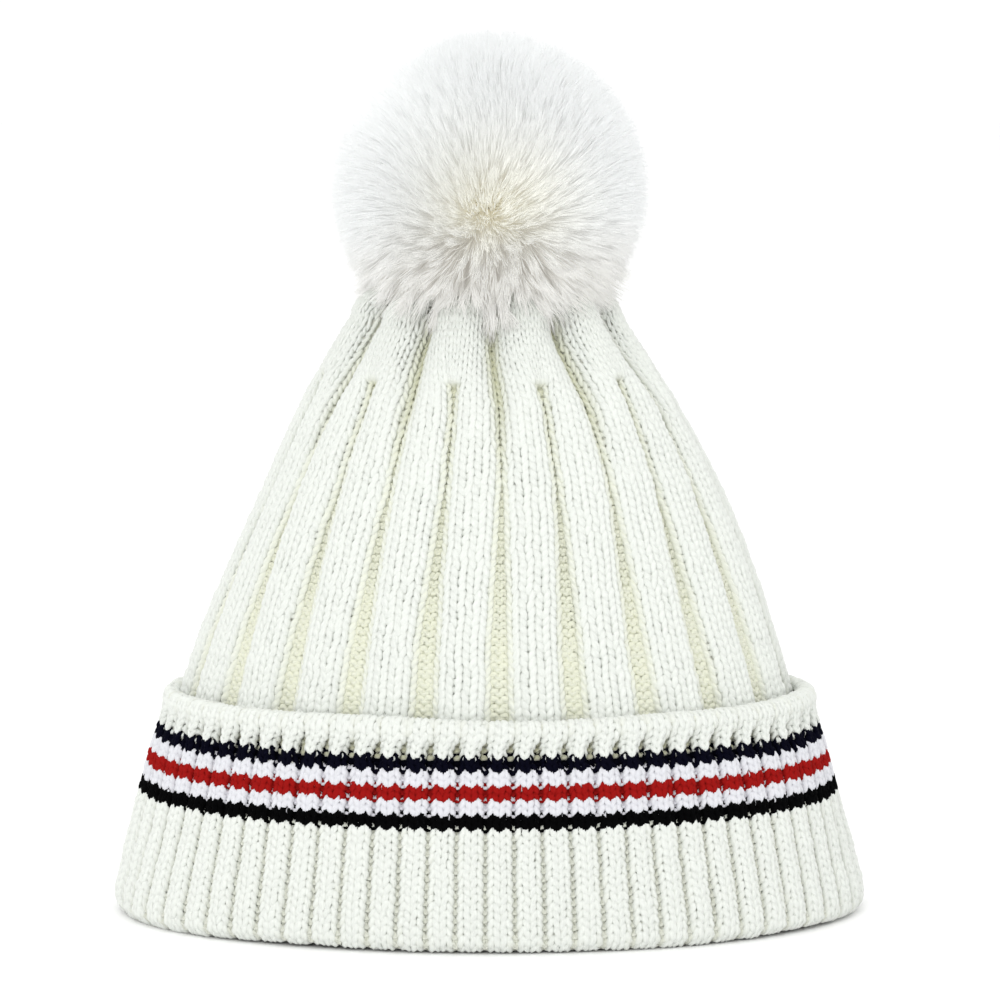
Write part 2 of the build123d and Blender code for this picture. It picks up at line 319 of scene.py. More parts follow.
class CuffFabric(Fabric):
    """Narrow ribs, seen upside down because the cuff is turned up. They close at the top edge."""

    def __init__(self, *profile, top, bottom):
        super().__init__(*profile, CUFF_REPEATS, CUFF_KNIT, CUFF_PURL, first_gutter=0.0)
        self.top, self.bottom = top, bottom

    def notch(self, v):
        """1 in the band above the stripes, where the gutters open as notches under the edge."""
        down = self.top - v
        return smooth((down - 2.0) / 5.0) * (1 - smooth((down - 10.5) / 3.0))

    def widths(self, v):
        gutter = 0.02 + 0.20 * smooth((self.top - 1.5 - v) / 6.0) + 0.14 * self.notch(v)
        rib = (1 - gutter) / 2
        return np.stack([rib, rib, gutter], -1)

    def shade(self, q, v):
        # Painted shade on the gutters' floor, stronger in the notches under the edge.
        floor = groove(q, CUFF_GUTTER, CUFF_PURL / 2, 0.3, 1.5, self.per_repeat)
        return floor * (0.4 + 0.6 * self.notch(v))

    def relief(self, q, v):
        deep = (1.25 + 2.6 * self.notch(v)) * smooth((self.top - 1.0 - v) / 3.5)
        deep = deep * smooth((v - self.bottom) / 4.0 + 0.4)
        return groove(q, CUFF_GUTTER, CUFF_PURL / 2, 0.9, 2.6, self.per_repeat) * deep

    def swell(self, s, v):
        turn = s / self.wales * TAU
        return 0.35 * np.sin(4 * turn + v / 19.0) + 0.25 * np.sin(7 * turn - v / 13.0 + 2.0)


# ---- Knitting ----
def knit(fabric, name, courses, course, yarn, sign, upside_down, loop_rise=0.8):
    """Pieces of knitted fabric: one closed ring of looped yarn for each course. sign gives +1 for a knit
    stitch and -1 for a purl stitch, by wale and course."""
    per_course = fabric.wales * LOOP_SAMPLES
    tau = (np.arange(LOOP_SAMPLES) + 0.5) / LOOP_SAMPLES * TAU - math.pi
    wale = np.arange(fabric.wales)
    place = (wale[:, None] + 0.5 + tau[None, :] / TAU).ravel()
    lean = np.tile(LOOP_LEAN * np.sin(2 * tau), fabric.wales)
    rise = np.tile(np.cos(tau), fabric.wales) * (-1 if upside_down else 1)
    front = np.tile(-np.cos(2 * tau), fabric.wales)
    rng = np.random.default_rng(len(name) * 7 + int(courses[0]))
    pieces, limit = [], max(1, int(MAX_PIECE_FACES // (per_course * YARN_SIDES)))
    for first in range(0, len(courses), limit):
        some = courses[first:first + limit]
        rows = len(some)
        signs = np.stack([blended_sign(sign(wale, v), tau) for v in some])
        loose = 1 + 0.08 * uneven(rng, rows, fabric.wales)
        s = np.broadcast_to(place + lean, (rows, per_course)) + 0.05 * uneven(rng, rows, fabric.wales)
        v = np.asarray(some)[:, None] + course * loop_rise * rise[None, :] * loose
        out = fabric.normal(s, v)
        depth = LOOP_DEPTH * signs * front[None, :] + 0.1 * uneven(rng, rows, fabric.wales)
        centre = fabric.point(s, v) + out * depth[..., None]
        along = unit(np.roll(centre, -1, axis=1) - np.roll(centre, 1, axis=1))
        out = unit(out - along * np.sum(out * along, -1, keepdims=True))
        side = np.cross(along, out)
        room = np.repeat(fabric.wale_width(np.asarray(some)), LOOP_SAMPLES, axis=1)
        thick = np.clip(room * YARN_SHARE, 0.5 * yarn, yarn)
        thick = thick * (1 + 0.06 * uneven(rng, rows, fabric.wales))
        for _ in range(3):
            thick = (np.roll(thick, 1, axis=1) + thick + np.roll(thick, -1, axis=1)) / 3
        points = tube_points(centre, out, side, thick, YARN_SIDES).reshape(-1, 3)
        faces, across = tube_faces(rows, per_course, YARN_SIDES)
        period = fabric.widths(np.asarray(some)).shape[1]
        # Painted shade of the gutters for each point, stored as the shade attribute.
        shade = np.repeat(fabric.shade(np.mod(s, period), v).ravel(), YARN_SIDES)
        corner = faces.ravel()
        column, row = (corner // YARN_SIDES) % per_course, corner // (YARN_SIDES * per_course)
        bake = np.stack([column / per_course, (row + 0.5) / rows], -1)
        twist = np.stack([column / LOOP_SAMPLES, across.ravel()], -1)
        label = f"{name}_{len(pieces) + 1}" if len(courses) > limit else name
        pieces.append(make_mesh(label, points, faces, {"shade": shade}, {"OFBake": bake, "yarn": twist}))
    return pieces


def uneven(rng, rows, wales):
    """Hand-made unevenness: one value for each stitch of each course, eased from stitch to stitch."""
    values = rng.standard_normal((rows, wales + 1))
    values[:, -1] = values[:, 0]
    t = (np.arange(wales * LOOP_SAMPLES) + 0.5) / LOOP_SAMPLES
    first = t.astype(int)
    share = smooth(t - first)
    return values[:, first] * (1 - share) + values[:, first + 1] * share


def blended_sign(signs, tau):
    """A course's stitch signs at each loop sample, passing through zero where knit meets purl."""
    following, before = np.roll(signs, -1), np.roll(signs, 1)
    t = tau / math.pi
    toward = np.where(t[None, :] > 0, following[:, None], before[:, None])
    weight = np.abs(t)[None, :] / 2
    mixed = signs[:, None] * (1 - weight) + toward * weight
    return np.clip(mixed * 1.6, -1, 1).ravel()


def tube_faces(rings, samples, sides):
    """Quads of closed tubes, ring after ring, and the place round the yarn of each corner."""
    ring, sample, side = np.meshgrid(np.arange(rings), np.arange(samples), np.arange(sides), indexing="ij")
    following, beside = (sample + 1) % samples, (side + 1) % sides

    def index(k, m):
        return (ring * samples + k) * sides + m

    near = [index(sample, side), index(following, side)]
    far = [index(following, beside), index(sample, beside)]
    faces = np.stack(near + far, -1)
    across = np.stack([side, side, side + 1, side + 1], -1) / sides
    return faces.reshape(-1, 4), across.reshape(-1, 4)


# ---- Where the CAD's faces are ----
def half_sizes(names, heights, rays, pick):
    """Half width and half depth of CAD nodes at each height, where a ray along X and one along Y meet them.
    Each ray has its start's x and y in metres, and its way; pick chooses among the nodes met, and where
    none is met the size is 0."""
    trees = []
    for name in names:
        mesh = frame["nodes"][name].data
        trees.append(BVHTree.FromPolygons([p.co for p in mesh.vertices], [p.vertices for p in mesh.polygons]))
    found = []
    for k, (start, way) in enumerate(rays):
        row = []
        for z in heights:
            hits = [tree.ray_cast((*start, z * MM), way)[0] for tree in trees]
            row.append(pick((abs(hit[k]) for hit in hits if hit is not None), default=0.0) / MM)
        found.append(np.array(row))
    return found


FROM_OUTSIDE = (((1.0, 0.0002), (-1, 0, 0)), ((0.0002, -1.0), (0, 1, 0)))
FROM_INSIDE = (((0.0003, -0.0003), (1, 0, 0)), ((0.0003, -0.0003), (0, -1, 0)))
fold_high = node_box("cuff_fold")[1]
edge_low, edge_high = node_box("cuff_edge_band")
crown_low, crown_high = node_box("knit_crown")
stripe_nodes = ["stripe_black", "stripe_white_lower", "stripe_red", "stripe_white_upper", "stripe_navy"]
crown_top = crown_high[2]
tip_radius = node_box("crown_gather")[1][0]
joints = {joint["name"]: joint for joint in frame["record"]["behaviour"]["joints"]}
tip_centre = joints["pom_nod"]["pos_m"][2] / MM
cuff_top = edge_high[2]
fold_width, fold_depth = fold_high[0], fold_high[1]


def arc(centre_out, centre_up, radius, start, end, count):
    """Offsets outward and heights along an arc, angles in degrees from the outward direction."""
    angle = np.radians(np.linspace(start, end, count))
    return centre_out + radius * np.cos(angle), centre_up + radius * np.sin(angle)


def body_profile():
    """From inside the cuff, up the CAD's outside, over the crown's rounded edge to its drawn-in middle.
    Known fault: knit_body starts above the lowest heights read here, so the sizes there are 0 and the
    profile begins with a flat disc right across the inside of the hat."""
    sunk = BODY_YARN + LOOP_DEPTH
    round_edge = 8.0
    heights = np.arange(cuff_top - 10, crown_top - round_edge, 2.0)
    width, depth = half_sizes(["knit_body", "knit_crown"], heights, FROM_OUTSIDE, max)
    shoulder_out, shoulder_up = arc(-round_edge, crown_top - round_edge, round_edge, 8, 90, 9)
    width_top = np.interp(crown_top - round_edge, heights, width)
    depth_top = np.interp(crown_top - round_edge, heights, depth)
    rim = math.sqrt(tip_radius ** 2 - (crown_top - tip_centre) ** 2) + 1.6 + sunk
    middle = np.linspace(0, 1, 8)[1:]
    top_a = (width_top - round_edge) * (1 - middle) + rim * middle
    top_b = (depth_top - round_edge) * (1 - middle) + rim * middle
    a = np.concatenate([width, width_top + shoulder_out, top_a]) - sunk
    b = np.concatenate([depth, depth_top + shoulder_out, top_b]) - sunk
    z = np.concatenate([heights, shoulder_up - sunk * 0.7, np.full(7, crown_top - sunk)])
    return np.maximum(a, 4.0), np.maximum(b, 4.0), z


def cuff_profile():
    """From the inside of the fold, round under it, up the outside and over the top edge."""
    sunk = CUFF_YARN + LOOP_DEPTH
    wall = fold_width - HEAD_OPENING / 2
    turn = wall / 2 - sunk
    under_out, under_up = arc(-wall / 2, wall / 2, turn, -175, -5, FOLD_POINTS)
    heights = np.arange(wall / 2 + 1, cuff_top - 3.5, 2.0)
    heights = heights[heights > fold_high[2] + 0.3]
    outer_nodes = ["cuff_rib_band", *stripe_nodes, "cuff_edge_band"]
    width, depth = half_sizes(outer_nodes, heights, FROM_OUTSIDE, max)
    edge = 2.6 - sunk / 2
    over_out, over_up = arc(-edge - sunk, cuff_top - edge - sunk * 0.6, edge, 10, 165, EDGE_POINTS)
    a = np.concatenate([fold_width + under_out, width - sunk, width[-1] + over_out])
    b = np.concatenate([fold_depth + under_out, depth - sunk, depth[-1] + over_out])
    z = np.concatenate([under_up, heights, over_up])
    return a, b, z


# ---- Materials ----
class Paint:
    """A material with one Principled shader, and short calls for the nodes that feed it."""

    def __init__(self, name, colour, roughness, **sockets):
        self.material = bpy.data.materials.new(name)
        self.material.use_nodes = True
        self.tree = self.material.node_tree
        self.shader = self.tree.nodes["Principled BSDF"]
        self.shader.inputs["Base Color"].default_value = (*colour, 1)
        self.shader.inputs["Roughness"].default_value = roughness
        for key, value in sockets.items():
            self.shader.inputs[key.replace("_", " ")].default_value = value

    def node(self, kind, inputs=(), **settings):
        made = self.tree.nodes.new("ShaderNode" + kind)
        for key, value in settings.items():
            setattr(made, key, value)
        for key, value in dict(inputs).items():
            self.feed(value, made.inputs[key])
        return made

    def feed(self, value, socket):
        if isinstance(value, bpy.types.NodeSocket):
            self.tree.links.new(value, socket)
        else:
            socket.default_value = value

    def maths(self, operation, *values):
        return self.node("Math", enumerate(values), operation=operation).outputs[0]

    def clamp(self, value):
        return self.node("Clamp", {0: value}).outputs[0]

    def mix(self, share, first, second):
        made = self.node("Mix", data_type="RGBA")
        for value, key in ((share, 0), (first, 6), (second, 7)):
            self.feed(value if not isinstance(value, tuple) else (*value, 1), made.inputs[key])
        return made.outputs[2]

    def noise(self, scale, detail=3.0, vector=None):
        where = vector or self.node("TexCoord").outputs["Object"]
        inputs = {"Vector": where, "Scale": scale, "Detail": detail}
        return self.node("TexNoise", inputs).outputs["Fac"]

    def attribute(self, name):
        return self.node("Attribute", attribute_name=name).outputs["Fac"]

    def colour(self, socket):
        self.feed(socket, self.shader.inputs["Base Color"])

    def bump(self, height, distance, strength):
        made = self.node("Bump", {"Height": height, "Distance": distance, "Strength": strength})
        self.feed(made.outputs[0], self.shader.inputs["Normal"])


def yarn_paint(name, colour, shade, fuzz=0.3, gloss=0.3):
    """Plied yarn: fibres twist round it. Its colour is mixed toward a darker colour painted as shade down in
    the gutters, and random blotches vary its tone.
    """
    paint = Paint(name, colour, 0.85, Sheen_Weight=fuzz, Sheen_Roughness=0.6, Specular_IOR_Level=gloss)
    uv = paint.node("UVMap", uv_map="yarn").outputs[0]
    split = paint.node("SeparateXYZ", {0: uv})
    along, across = split.outputs[0], split.outputs[1]
    phase = paint.maths("MULTIPLY_ADD", along, 3.0, paint.maths("MULTIPLY", across, 3.0))
    ply = paint.maths("SINE", paint.maths("MULTIPLY", phase, TAU))
    lengthways, crossways = paint.maths("MULTIPLY", phase, 2.5), paint.maths("MULTIPLY", across, 9.0)
    stretched = paint.node("CombineXYZ", {0: lengthways, 1: crossways})
    fibre = paint.noise(3.0, 4.0, stretched.outputs[0])
    blotch = paint.noise(160.0)
    # Painted shade: the colour falls toward the second colour by the gutters' shade attribute.
    shade_and_blotch = paint.mix(paint.attribute("shade"), colour, shade)
    darker = tuple(0.9 * c for c in colour)
    share = paint.maths("MULTIPLY", paint.maths("SUBTRACT", blotch, 0.35), 0.5)
    shade_and_blotch = paint.mix(paint.clamp(share), shade_and_blotch, darker)
    # Painted shade: the colour is mixed toward the darker colour in the grooves between the plies.
    between = paint.maths("MULTIPLY", paint.maths("SUBTRACT", 0.3, ply), 0.16)
    paint.colour(paint.mix(paint.clamp(between), shade_and_blotch, darker))
    paint.bump(paint.maths("ADD", paint.maths("MULTIPLY", ply, 0.5), fibre), 0.0002, 0.7)
    return paint.material


WHITE_YARN = (0.742, 0.766, 0.722)
# Each yarn's second colour is the painted shade of its gutters, not a colour of its own.
white_yarn = yarn_paint("white_acrylic_yarn", WHITE_YARN, (0.71, 0.71, 0.46))
cuff_yarn = yarn_paint("white_cuff_yarn", WHITE_YARN, (0.52, 0.52, 0.36))
lilac_yarn = yarn_paint("white_stripe_yarn", (0.70, 0.705, 0.74), (0.50, 0.48, 0.53))
black_yarn = yarn_paint("black_yarn", (0.0012, 0.0012, 0.0014), (0.0006, 0.0006, 0.0008), 0.0, 0.03)
navy_yarn = yarn_paint("navy_yarn", (0.0018, 0.0018, 0.007), (0.001, 0.001, 0.004), 0.0, 0.04)
red_yarn = yarn_paint("red_yarn", (0.30, 0.007, 0.006), (0.15, 0.003, 0.003), 0.0, 0.06)


def cloth_paint(name, colour):
    """Cloth or loose fibre: dull, with fine fuzz."""
    paint = Paint(name, colour, 0.9, Sheen_Weight=0.3, Sheen_Roughness=0.6)
    fine, broad = paint.noise(2200.0), paint.noise(120.0)
    paint.colour(paint.mix(paint.maths("MULTIPLY", broad, 0.5), colour, tuple(0.8 * c for c in colour)))
    paint.bump(fine, 0.0002, 0.6)
    return paint.material


skin_yarn = cloth_paint("white_knit_reverse", (0.86, 0.86, 0.77))
backing_cloth = cloth_paint("fur_backing_cloth", (0.74, 0.73, 0.69))
felt_cloth = cloth_paint("grey_felt", (0.55, 0.54, 0.52))
fill_fibre = cloth_paint("polyester_filling", (0.86, 0.86, 0.86))
string_cord = cloth_paint("white_string", (0.80, 0.79, 0.74))


def metal_paint():
    paint = Paint("brass_press_stud", (0.72, 0.53, 0.26), 0.28, Metallic=1.0)
    dull = paint.noise(900.0)
    paint.feed(paint.maths("MULTIPLY_ADD", dull, 0.25, 0.18), paint.shader.inputs["Roughness"])
    paint.colour(paint.mix(paint.noise(350.0), (0.76, 0.57, 0.29), (0.60, 0.42, 0.19)))
    paint.bump(dull, 0.00005, 0.4)
    return paint.material


def plastic_paint():
    paint = Paint("clear_white_plastic", (0.75, 0.75, 0.73), 0.35, Specular_IOR_Level=0.5)
    paint.colour(paint.mix(paint.noise(200.0), (0.78, 0.78, 0.76), (0.68, 0.68, 0.67)))
    paint.bump(paint.noise(1500.0), 0.00004, 0.5)
    return paint.material


def fur_paint():
    """Faux fur: yellow at the roots near the whorl, white with a cool edge at the tips. The yellow and the
    brighter tips near the whorl are painted light, the cool grey tips painted shade at the ball's edge, the
    greyer tan of low strands painted shade under the ball, and a faint emission painted light.
    """
    # Painted light: a faint white emission stands in for light scattered between the fibres.
    glow = {"Emission_Color": (1.0, 0.99, 0.97, 1.0), "Emission_Strength": 0.135}
    paint = Paint("white_faux_fur", (0.96, 0.96, 0.95), 0.6, **glow)
    along, lot, whorl, low = [paint.attribute(name) for name in ("along", "lot", "whorl", "low")]
    # Painted light near the whorl: roots and tips there are painted yellower and brighter. Painted shade
    # under the ball: low strands are painted greyer and tan.
    root = paint.mix(whorl, (0.96, 0.955, 0.94), (1.0, 0.94, 0.70))
    root = paint.mix(low, root, (0.66, 0.62, 0.53))
    # Elsewhere the tips are painted cool grey, as painted shade at the ball's edge.
    tip = paint.mix(whorl, (0.91, 0.925, 0.93), (0.995, 0.99, 0.915))
    tip = paint.mix(low, tip, (0.86, 0.855, 0.83))
    grown = paint.mix(paint.clamp(paint.maths("MULTIPLY", along, 1.3)), root, tip)
    paint.colour(paint.mix(paint.maths("MULTIPLY", lot, 0.2), grown, (0.93, 0.93, 0.925)))
    return paint.material


fur_fibre = fur_paint()
brass = metal_paint()
plastic = plastic_paint()


def dress(obj, material, body, slot, *nodes):
    """Gives a piece its material and the body it rides on, and hides the CAD nodes it stands for; its record
    slot is not used.
    """
    obj.data.materials.append(material)
    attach(obj, body)
    if nodes:
        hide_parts(*nodes)


# ---- The hat's knit ----
body_fabric = BodyFabric(*body_profile(), ledge=crown_low[2], crown=crown_top)
cuff_rows = cuff_profile()
cuff_fabric = CuffFabric(*cuff_rows, top=0.0, bottom=0.0)
cuff_fabric.top = float(cuff_fabric.length[1 - EDGE_POINTS])
cuff_fabric.bottom = float(cuff_fabric.length[FOLD_POINTS - 1])


def wide_rib_sign(wale, v):
    """Knit or purl in the body: odd gutters turn to plain knit above their ledge."""
    in_gutter = wale % (BODY_KNIT + BODY_PURL) >= BODY_KNIT
    gutter = wale // (BODY_KNIT + BODY_PURL)
    ended = (gutter % 2 == 1) & (v > body_fabric.ledge_length())
    return np.where(in_gutter & ~ended, -1.0, 1.0)


def rib_sign(knits, purls):
    """Knit or purl by the wale alone, in ribs of so many knit and purl wales."""
    return lambda wale, v: np.where(wale % (knits + purls) >= knits, -1.0, 1.0)


body_end = body_fabric.length[-1]
body_courses = np.linspace(BODY_COURSE, body_end - 0.8, round(body_end / BODY_COURSE))
split_at = body_fabric.ledge_length() + 1
for courses, label, node in (
    (body_courses[body_courses < split_at], "body_courses", "knit_body"),
    (body_courses[body_courses >= split_at], "crown_courses", "knit_crown"),
):
    for piece in knit(body_fabric, label, courses, BODY_COURSE, BODY_YARN, wide_rib_sign, False):
        dress(piece, white_yarn, "hat", "yarn_white", node)


# ---- The cuff's knit ----
def cuff_length_at(z):
    """Length along the cuff's profile where its outside reaches height z."""
    outside = slice(FOLD_POINTS, len(cuff_fabric.height) - EDGE_POINTS)
    return float(np.interp(z, cuff_fabric.height[outside], cuff_fabric.length[outside]))


def cuff_section(start, end, label, node, material, slot, pitch):
    """Courses of the cuff between two lengths, as many as fit at about the pitch given."""
    count = max(1, round((end - start) / pitch))
    course = (end - start) / count
    rows = start + (np.arange(count) + 0.5) * course
    sign = rib_sign(CUFF_KNIT, CUFF_PURL)
    for piece in knit(cuff_fabric, label, rows, course, CUFF_YARN, sign, True, loop_rise=0.76):
        dress(piece, material, "hat", slot, node)


stripe_lows = [cuff_length_at(node_box(node)[0][2]) for node in stripe_nodes]
stripe_top = cuff_length_at(edge_low[2])
fold_top = cuff_length_at(fold_high[2])
cuff_end = cuff_fabric.length[-1]
cuff_section(0.0, fold_top, "fold_courses", "cuff_fold", cuff_yarn, "yarn_white", RIB_COURSE)
cuff_section(fold_top, stripe_lows[0], "rib_courses", "cuff_rib_band", cuff_yarn, "yarn_white", RIB_COURSE)
stripe_ends = stripe_lows[1:] + [stripe_top]
stripe_yarns = [black_yarn, lilac_yarn, red_yarn, lilac_yarn, navy_yarn]
for start, end, node, yarn in zip(stripe_lows, stripe_ends, stripe_nodes, stripe_yarns):
    slot = "yarn_" + node.split("_")[1]
    cuff_section(start, end, node + "_courses", node, yarn, slot, STRIPE_COURSE)
cuff_section(stripe_top, cuff_end, "edge_courses", "cuff_edge_band", cuff_yarn, "yarn_white", RIB_COURSE)


# ---- The knit's reverse, inside the hat ----
def skin(fabric, label, start, end, behind, course, per_wale=4, per_course=3, bumps=0.5):
    """The fabric's inner face: rows of purl bumps, lying behind the yarn."""
    rows = int((end - start) / course * per_course) + 1
    columns = fabric.wales * per_wale
    v, s = np.meshgrid(np.linspace(start, end, rows), np.arange(columns) / per_wale, indexing="ij")
    row = v / course
    heads = np.abs(np.sin(math.pi * s)) * (0.5 + 0.5 * np.cos(TAU * row))
    feet = np.abs(np.cos(math.pi * s)) * (0.5 - 0.5 * np.cos(TAU * row))
    depth = behind + bumps * (heads + feet)
    points = fabric.point(s, v) - fabric.normal(s, v) * depth[..., None]
    faces = grid_faces(rows, columns)[:, ::-1]
    corner = faces.ravel()
    bake = np.stack([(corner % columns) / columns, corner // columns / rows], -1)
    return make_mesh(label, points.reshape(-1, 3), faces, uvs={"OFBake": bake})


def inner_profile():
    """The lining's middle surface, from the fold up to where the body's own skin begins."""
    heights = np.arange(3.0, cuff_top - 5, 2.0)
    width, depth = half_sizes(["cuff_fold", "cuff_inner_layer", "knit_body"], heights, FROM_INSIDE, min)
    return width + 2.6, depth + 2.6, heights


class LiningFabric(CuffFabric):
    """The layer inside the cuff, stretched a little flatter."""

    def relief(self, q, v):
        return groove(q, CUFF_GUTTER, CUFF_PURL / 2, 0.9, 2.6, self.per_repeat) * 0.8


lining_rows = inner_profile()
lining_fabric = LiningFabric(*lining_rows, top=lining_rows[2][-1] + 20, bottom=0.0)
lining = skin(lining_fabric, "cuff_lining_knit", 0.0, lining_fabric.length[-1], 1.3, RIB_COURSE, bumps=1.1)
dress(lining, skin_yarn, "hat", "yarn_white", "cuff_inner_layer")
body_skin = skin(body_fabric, "body_reverse_knit", 0.0, split_at, 0.15, BODY_COURSE, 3)
dress(body_skin, skin_yarn, "hat", "yarn_white", "knit_body")
crown_skin = skin(body_fabric, "crown_reverse_knit", split_at, body_end - 1.5, 0.15, BODY_COURSE, 3)
dress(crown_skin, skin_yarn, "hat", "yarn_white", "knit_crown")
hidden_end = cuff_length_at(cuff_top - 4)
cuff_skin = skin(cuff_fabric, "cuff_reverse_knit", fold_top - 4, hidden_end, 0.1, RIB_COURSE, 2, 2)
dress(cuff_skin, skin_yarn, "hat", "yarn_white", "cuff_rib_band")


# ---- Tubes, cords and the seam ----
def tube(label, path, radius, sides, closed=False, plies=1, twist=1.0):
    """A yarn or cord along a path, in mm; with plies it is that many strands twisted round each other, one
    turn in each twist mm."""
    path = np.asarray(path, float)
    ahead = np.roll(path, -1, axis=0) if closed else np.vstack([path[1:], 2 * path[-1:] - path[-2:-1]])
    behind = np.roll(path, 1, axis=0) if closed else np.vstack([2 * path[:1] - path[1:2], path[:-1]])
    along = unit(ahead - behind)
    up = np.zeros_like(path)
    up[:, 2] = 1.0
    steep = np.abs(along[:, 2]) > 0.95
    up[steep] = (0, 1, 0)
    side = unit(np.cross(along, up))
    out = np.cross(side, along)
    length = np.concatenate([[0], np.cumsum(np.linalg.norm(np.diff(path, axis=0), axis=1))])
    all_points, all_faces = [], []
    for k in range(plies):
        turns = length / twist
        if closed:
            turns = np.arange(len(path)) / len(path) * round(length[-1] / twist)
        turn = TAU * (k / plies) + turns * TAU
        centre, strand = path, radius
        if plies > 1:
            centre = path + radius * 0.5 * (out * np.cos(turn)[:, None] + side * np.sin(turn)[:, None])
            strand = radius * 0.55
        ring = tube_points(centre, out, side, strand, sides)
        if not closed:
            ring[0] = centre[0] + (ring[0] - centre[0]) * 0.3
            ring[-1] = centre[-1] + (ring[-1] - centre[-1]) * 0.3
        base = sum(len(p) for p in all_points)
        all_points.append(ring.reshape(-1, 3))
        rows = len(path) + 1 if closed else len(path)
        faces = grid_faces(rows, sides) % (len(path) * sides)
        all_faces.append(faces + base)
    return make_mesh(label, np.vstack(all_points), np.vstack(all_faces))


seam_low, seam_high = node_box("back_seam")
seam_heights = np.linspace(seam_low[2], seam_high[2] - 2, 260)
rising = slice(0, body_fabric.top_index())
seam_inner = np.interp(seam_heights, body_fabric.height[rising], body_fabric.half_depth[rising])
lower = np.interp(seam_heights, lining_rows[2], lining_rows[1])
seam_depth = np.where(seam_heights < lining_rows[2][-1] - 2, lower - 3.6, seam_inner - 4.6)
zigzag = np.arange(len(seam_heights)) * 1.9
for side in (-1, 1):
    aside, back = side * (0.9 + 0.7 * np.sin(zigzag)), seam_depth - 0.4 * np.cos(zigzag)
    path = np.stack([aside, back, seam_heights], -1)
    seam = tube(f"seam_chain_{'left' if side < 0 else 'right'}", path, 0.6, 6)
    dress(seam, string_cord, "hat", "yarn_white", "back_seam")


# ---- The drawn-in tip of the crown ----
class DomeFabric(Fabric):
    """The crown's pleats drawn in to the hole at the top."""

    def widths(self, v):
        return np.stack([np.ones_like(v)] * DOME_KNIT + [np.full_like(v, 0.7)] * DOME_PURL, -1)

    def shade(self, q, v):
        # Painted shade in the gutters of the drawn-in tip.
        return groove(q, DOME_GUTTER, DOME_PURL / 2, 0.5, 1.5, self.per_repeat) * 0.8

    def relief(self, q, v):
        return groove(q, DOME_GUTTER, DOME_PURL / 2, 2.0, 2.0, self.per_repeat) * 0.7


polar = np.radians(np.linspace(84, 22, 16))
dome_radius = tip_radius - 1.1
dome_rows = [dome_radius * np.sin(polar)] * 2 + [tip_centre + dome_radius * np.cos(polar)]
dome_fabric = DomeFabric(*dome_rows, BODY_REPEATS // 2, DOME_KNIT, DOME_PURL, 0.0)
dome_end = dome_fabric.length[-1]
dome_courses = np.arange(0.8, dome_end - 0.3, DOME_COURSE)
dome_sign = rib_sign(DOME_KNIT, DOME_PURL)
for piece in knit(dome_fabric, "tip_courses", dome_courses, DOME_COURSE, DOME_YARN, dome_sign, False):
    dress(piece, white_yarn, "crown_tip", "yarn_white", "crown_gather")
tip_skin = skin(dome_fabric, "tip_reverse_knit", 0.9, dome_end, 0.2, DOME_COURSE)
dress(tip_skin, skin_yarn, "crown_tip", "yarn_white", "crown_gather")

string_low, string_high = node_box("drawstring")
string_z = (string_low[2] + string_high[2]) / 2
string_radius = (string_high[2] - string_low[2]) / 2
ring_radius = string_high[0] - string_radius
turns = np.linspace(0, TAU, 160, endpoint=False)
string_height = string_z + 0.25 * np.sin(11 * turns)
string_path = about_z(ring_radius, turns, string_height)
string = tube("drawstring_cord", string_path, string_radius * 0.92, 7, True, 3, 3.4)
dress(string, string_cord, "crown_tip", "sewing_thread", "drawstring")
knot_low, knot_high = node_box("drawstring_knot")
knot_middle, knot_size = (knot_low + knot_high) / 2, (knot_high[0] - knot_low[0]) / 2
trefoil = np.linspace(0, TAU, 90, endpoint=False)
knot_across, knot_up = np.sin(trefoil) + 2 * np.sin(2 * trefoil), np.cos(trefoil) - 2 * np.cos(2 * trefoil)
knot_path = knot_middle + np.stack([knot_across, 1.1 * np.sin(3 * trefoil), knot_up], -1) * knot_size * 0.24
knot = tube("drawstring_bow_knot", knot_path, knot_size * 0.27, 7, True, 2, 2.4)
dress(knot, string_cord, "crown_tip", "sewing_thread", "drawstring_knot")
for side in (-1, 1):
    fall = np.linspace(0, 1, 24)
    tail = np.stack([side * (0.8 + 1.6 * fall), -1.2 * fall, -1.0 - 2.6 * fall ** 1.3], -1)
    label = f"drawstring_tail_{'left' if side < 0 else 'right'}"
    end = tube(label, knot_middle + tail, 0.55, 6, False, 2, 2.4)
    dress(end, string_cord, "crown_tip", "sewing_thread", "drawstring_knot")

# ---- Press stud ----
stud_nodes = ("snap_cap", "snap_socket", "snap_spring", "snap_stud", "stud_post")
for name in (*stud_nodes, "pom_base_disc"):
    slots = frame["nodes"][name].data.materials
    slots.clear()
    slots.append(brass if name in stud_nodes else plastic)


def turned(label, profile, around, wobble):
    """A surface of revolution from radius and height pairs, which wobble(radius, height, angle) shakes."""
    profile = np.asarray(profile, float)
    angle = np.arange(around) / around * TAU
    radius = np.repeat(profile[:, :1], around, axis=1)
    height = np.repeat(profile[:, 1:], around, axis=1)
    radius, height = wobble(radius, height, np.broadcast_to(angle, radius.shape))
    return make_mesh(label, about_z(radius, angle, height).reshape(-1, 3), grid_faces(len(profile), around))


washer_high = node_box("felt_washer")[1]
washer_radius = washer_high[0]


